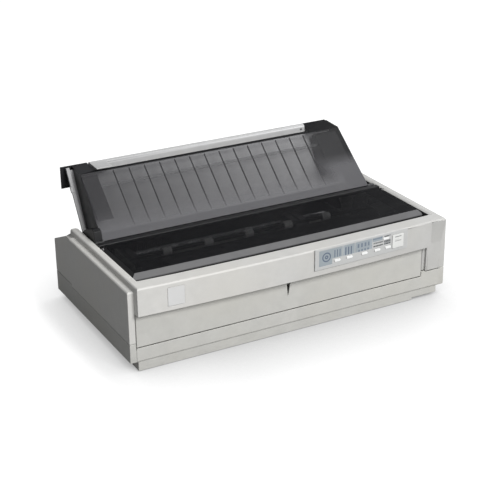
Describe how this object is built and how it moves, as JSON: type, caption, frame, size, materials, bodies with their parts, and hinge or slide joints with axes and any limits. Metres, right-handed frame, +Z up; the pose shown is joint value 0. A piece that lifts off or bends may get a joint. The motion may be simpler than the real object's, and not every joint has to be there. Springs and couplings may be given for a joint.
{
  "type": "dot matrix printer",
  "caption": "Wide-carriage dot matrix printer with a smoked printer cover, a raised ribbed paper guide, a fold-down front door and a complete printing mechanism.",
  "frame": {"origin": "middle of the overall box in X and Y, on the plane the feet stand on", "axes": "+Z up, +X to the operator's right along the carriage, the front panel faces -Y"},
  "size_m": [0.621, 0.356, 0.2398],
  "materials": {
    "case_plastic": "fine textured satin",
    "light_plastic": "satin",
    "smoked_plastic": "smoked, satin gloss",
    "guide_plastic": "smoked, fine texture",
    "dark_plastic": "matte",
    "rubber": "matte",
    "steel": "bright drawn",
    "zinc_sheet": "zinc plated",
    "gear_plastic": "satin",
    "circuit_board": "satin",
    "legend": "satin",
    "belt": "matte"
  },
  "bodies": {
    "case": {"lower_case": "case_plastic", "upper_case": "case_plastic", "hinge_bar": "guide_plastic", "control_bezel": "light_plastic", "legend_plate": "legend", "indicator_lamps": "dark_plastic", "control_board": "circuit_board", "badge_plate": "light_plastic", "feet": "rubber", "chassis": "zinc_sheet", "chassis_screws": "steel", "feed_motor": "dark_plastic", "carriage_shaft": "steel", "guide_rod": "steel", "carriage_motor": "dark_plastic", "timing_belt": "belt", "paper_chute": "dark_plastic", "tractor_rail": "steel", "main_board": "circuit_board", "power_supply": "zinc_sheet", "power_inlet": "dark_plastic", "parallel_port": "zinc_sheet"},
    "front_door": {"front_door": "case_plastic"},
    "printer_cover": {"printer_cover": "smoked_plastic"},
    "paper_guide": {"guide_cover": "guide_plastic", "guide_frame": "light_plastic", "edge_guide_rail": "steel"},
    "edge_guide_left": {"edge_guide_left": "dark_plastic"},
    "edge_guide_right": {"edge_guide_right": "dark_plastic"},
    "platen": {"platen_roller": "rubber", "platen_shaft": "steel", "platen_knob": "case_plastic", "platen_gear": "gear_plastic"},
    "idler_gear_a": {"idler_gear_a": "gear_plastic"},
    "idler_gear_b": {"idler_gear_b": "gear_plastic"},
    "feed_pinion": {"feed_pinion": "steel"},
    "tractor_shaft": {"tractor_shaft": "steel"},
    "carriage": {"carriage": "dark_plastic", "print_head": "dark_plastic", "ribbon_cartridge": "dark_plastic"},
    "drive_pulley": {"drive_pulley": "steel"},
    "idler_pulley": {"idler_pulley": "steel"},
    "paper_bail": {"paper_bail": "steel"},
    "bail_rollers": {"bail_rollers": "rubber"},
    "release_lever": {"release_lever": "dark_plastic"},
    "thickness_lever": {"thickness_lever": "dark_plastic"},
    "tractor_left": {"tractor_left": "dark_plastic"},
    "tractor_right": {"tractor_right": "dark_plastic"},
    "tractor_gate_left": {"tractor_gate_left": "dark_plastic"},
    "tractor_gate_right": {"tractor_gate_right": "dark_plastic"},
    "panel_button_1": {"panel_button_1": "light_plastic"},
    "panel_button_2": {"panel_button_2": "light_plastic"},
    "panel_button_3": {"panel_button_3": "light_plastic"},
    "panel_button_4": {"panel_button_4": "light_plastic"},
    "panel_button_5": {"panel_button_5": "light_plastic"},
    "panel_button_6": {"panel_button_6": "light_plastic"},
    "pause_button": {"pause_button": "light_plastic"},
    "power_switch": {"power_switch": "dark_plastic"},
    "port_clip_left": {"port_clip_left": "steel"},
    "port_clip_right": {"port_clip_right": "steel"}
  },
  "joints": [
    {"name": "printer_cover_hinge", "type": "hinge", "parent": "case", "child": "printer_cover", "pos_m": [-0.0105, 0.00592, 0.146], "axis": [-1, 0, 0], "range_deg": [0, 75]},
    {"name": "paper_guide_hinge", "type": "hinge", "parent": "case", "child": "paper_guide", "pos_m": [-0.0105, 0.03522, 0.1455], "axis": [-1, 0, 0], "range_deg": [0, 38]},
    {"name": "edge_guide_left_slide", "type": "slide", "parent": "paper_guide", "child": "edge_guide_left", "axis": [1, 0, 0], "range_m": [0, 0.06]},
    {"name": "edge_guide_right_slide", "type": "slide", "parent": "paper_guide", "child": "edge_guide_right", "axis": [1, 0, 0], "range_m": [-0.06, 0]},
    {"name": "front_door_hinge", "type": "hinge", "parent": "case", "child": "front_door", "pos_m": [-0.0105, -0.15308, 0.0465], "axis": [1, 0, 0], "range_deg": [0, 85]},
    {"name": "platen_turn", "type": "hinge", "parent": "case", "child": "platen", "pos_m": [-0.0105, -0.00458, 0.096], "axis": [1, 0, 0], "continuous": true},
    {"name": "idler_gear_a_turn", "type": "hinge", "parent": "case", "child": "idler_gear_a", "pos_m": [-0.0105, 0.02371, 0.06772], "axis": [1, 0, 0], "continuous": true},
    {"name": "idler_gear_b_turn", "type": "hinge", "parent": "case", "child": "idler_gear_b", "pos_m": [-0.0105, 0.05469, 0.0597], "axis": [1, 0, 0], "continuous": true},
    {"name": "feed_pinion_turn", "type": "hinge", "parent": "case", "child": "feed_pinion", "pos_m": [-0.0105, 0.02371, 0.04372], "axis": [1, 0, 0], "continuous": true},
    {"name": "tractor_shaft_turn", "type": "hinge", "parent": "case", "child": "tractor_shaft", "pos_m": [-0.0105, 0.08599, 0.06636], "axis": [1, 0, 0], "continuous": true},
    {"name": "carriage_slide", "type": "slide", "parent": "case", "child": "carriage", "axis": [1, 0, 0], "range_m": [-0.05, 0.29]},
    {"name": "drive_pulley_turn", "type": "hinge", "parent": "case", "child": "drive_pulley", "pos_m": [-0.2245, -0.10558, 0], "axis": [0, 0, 1], "continuous": true},
    {"name": "idler_pulley_turn", "type": "hinge", "parent": "case", "child": "idler_pulley", "pos_m": [0.2035, -0.10558, 0], "axis": [0, 0, 1], "continuous": true},
    {"name": "paper_bail_hinge", "type": "hinge", "parent": "case", "child": "paper_bail", "pos_m": [-0.0105, 0.03142, 0.1], "axis": [-1, 0, 0], "range_deg": [0, 20]},
    {"name": "bail_roller_turn", "type": "hinge", "parent": "paper_bail", "child": "bail_rollers", "pos_m": [-0.0105, 0.00408, 0.11977], "axis": [1, 0, 0], "continuous": true},
    {"name": "release_lever_hinge", "type": "hinge", "parent": "case", "child": "release_lever", "pos_m": [0.2295, 0.01742, 0.066], "axis": [-1, 0, 0], "range_deg": [0, 20]},
    {"name": "thickness_lever_hinge", "type": "hinge", "parent": "case", "child": "thickness_lever", "pos_m": [-0.2505, -0.06258, 0.062], "axis": [1, 0, 0], "range_deg": [-8, 8]},
    {"name": "tractor_left_slide", "type": "slide", "parent": "case", "child": "tractor_left", "axis": [1, 0, 0], "range_m": [0, 0.06]},
    {"name": "tractor_right_slide", "type": "slide", "parent": "case", "child": "tractor_right", "axis": [1, 0, 0], "range_m": [-0.06, 0.04]},
    {"name": "tractor_gate_left_hinge", "type": "hinge", "parent": "tractor_left", "child": "tractor_gate_left", "pos_m": [-0.215, 0.08599, 0.08156], "axis": [0, 1, 0], "range_deg": [-70, 0]},
    {"name": "tractor_gate_right_hinge", "type": "hinge", "parent": "tractor_right", "child": "tractor_gate_right", "pos_m": [0.154, 0.08599, 0.08156], "axis": [0, -1, 0], "range_deg": [-70, 0]},
    {"name": "panel_button_1_press", "type": "slide", "parent": "case", "child": "panel_button_1", "axis": [0, 1, 0], "range_m": [0, 0.001], "stiffness_N_per_m": 400, "springref_m": -0.001},
    {"name": "panel_button_2_press", "type": "slide", "parent": "case", "child": "panel_button_2", "axis": [0, 1, 0], "range_m": [0, 0.001], "stiffness_N_per_m": 400, "springref_m": -0.001},
    {"name": "panel_button_3_press", "type": "slide", "parent": "case", "child": "panel_button_3", "axis": [0, 1, 0], "range_m": [0, 0.001], "stiffness_N_per_m": 400, "springref_m": -0.001},
    {"name": "panel_button_4_press", "type": "slide", "parent": "case", "child": "panel_button_4", "axis": [0, 1, 0], "range_m": [0, 0.001], "stiffness_N_per_m": 400, "springref_m": -0.001},
    {"name": "panel_button_5_press", "type": "slide", "parent": "case", "child": "panel_button_5", "axis": [0, 1, 0], "range_m": [0, 0.001], "stiffness_N_per_m": 400, "springref_m": -0.001},
    {"name": "panel_button_6_press", "type": "slide", "parent": "case", "child": "panel_button_6", "axis": [0, 1, 0], "range_m": [0, 0.001], "stiffness_N_per_m": 400, "springref_m": -0.001},
    {"name": "pause_button_press", "type": "slide", "parent": "case", "child": "pause_button", "axis": [0, 1, 0], "range_m": [0, 0.001], "stiffness_N_per_m": 400, "springref_m": -0.001},
    {"name": "power_switch_rock", "type": "hinge", "parent": "case", "child": "power_switch", "pos_m": [0.2845, -0.11258, 0], "axis": [0, 0, -1], "range_deg": [0, 11]},
    {"name": "port_clip_left_swing", "type": "hinge", "parent": "case", "child": "port_clip_left", "pos_m": [0.0555, 0.16892, 0], "axis": [0, 0, 1], "range_deg": [0, 45]},
    {"name": "port_clip_right_swing", "type": "hinge", "parent": "case", "child": "port_clip_right", "pos_m": [0.1135, 0.16892, 0], "axis": [0, 0, -1], "range_deg": [0, 45]}
  ],
  "couplings": [
    {"joint": "idler_gear_a_turn", "follows": "platen_turn", "ratio": -1.5},
    {"joint": "idler_gear_b_turn", "follows": "platen_turn", "ratio": 1.5},
    {"joint": "feed_pinion_turn", "follows": "platen_turn", "ratio": 3},
    {"joint": "tractor_shaft_turn", "follows": "platen_turn", "ratio": -1.5},
    {"joint": "drive_pulley_turn", "follows": "carriage_slide", "rad_per_m": -112.36},
    {"joint": "idler_pulley_turn", "follows": "carriage_slide", "rad_per_m": -112.36}
  ]
}
